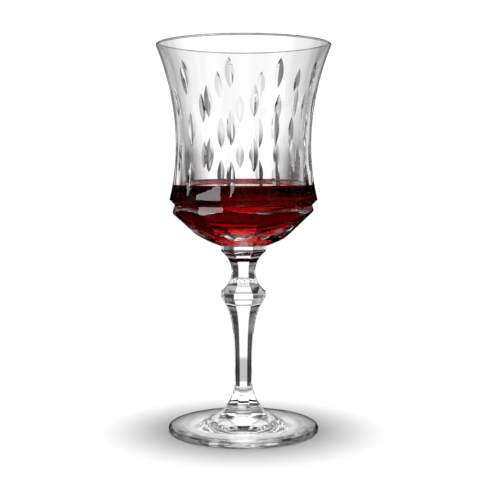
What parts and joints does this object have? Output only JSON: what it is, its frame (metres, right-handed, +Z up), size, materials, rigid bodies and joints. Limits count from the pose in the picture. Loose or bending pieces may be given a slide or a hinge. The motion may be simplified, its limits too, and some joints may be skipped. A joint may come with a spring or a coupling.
{
  "type": "wine glass",
  "caption": "Stemmed crystal goblet with a waisted, olive-cut bowl, a faceted base, a panelled stem with a knop, a flat foot and red wine.",
  "frame": {"origin": "middle of the ring on the underside of the foot, on the surface that the glass stands on", "axes": "+Z up along the stem, -Y towards the viewer, +X to the viewer's right"},
  "size_m": [0.09, 0.09, 0.2],
  "materials": {
    "bowl_crystal": "fire-polished clear crystal with acid-polished cuts",
    "stem_crystal": "polished clear crystal with cut panels",
    "foot_crystal": "fire-polished clear crystal with faint spun rings",
    "red_wine": "clear deep red liquid"
  },
  "bodies": {
    "root": {"bowl": "bowl_crystal", "stem": "stem_crystal", "foot": "foot_crystal", "wine": "red_wine"}
  },
  "joints": []
}
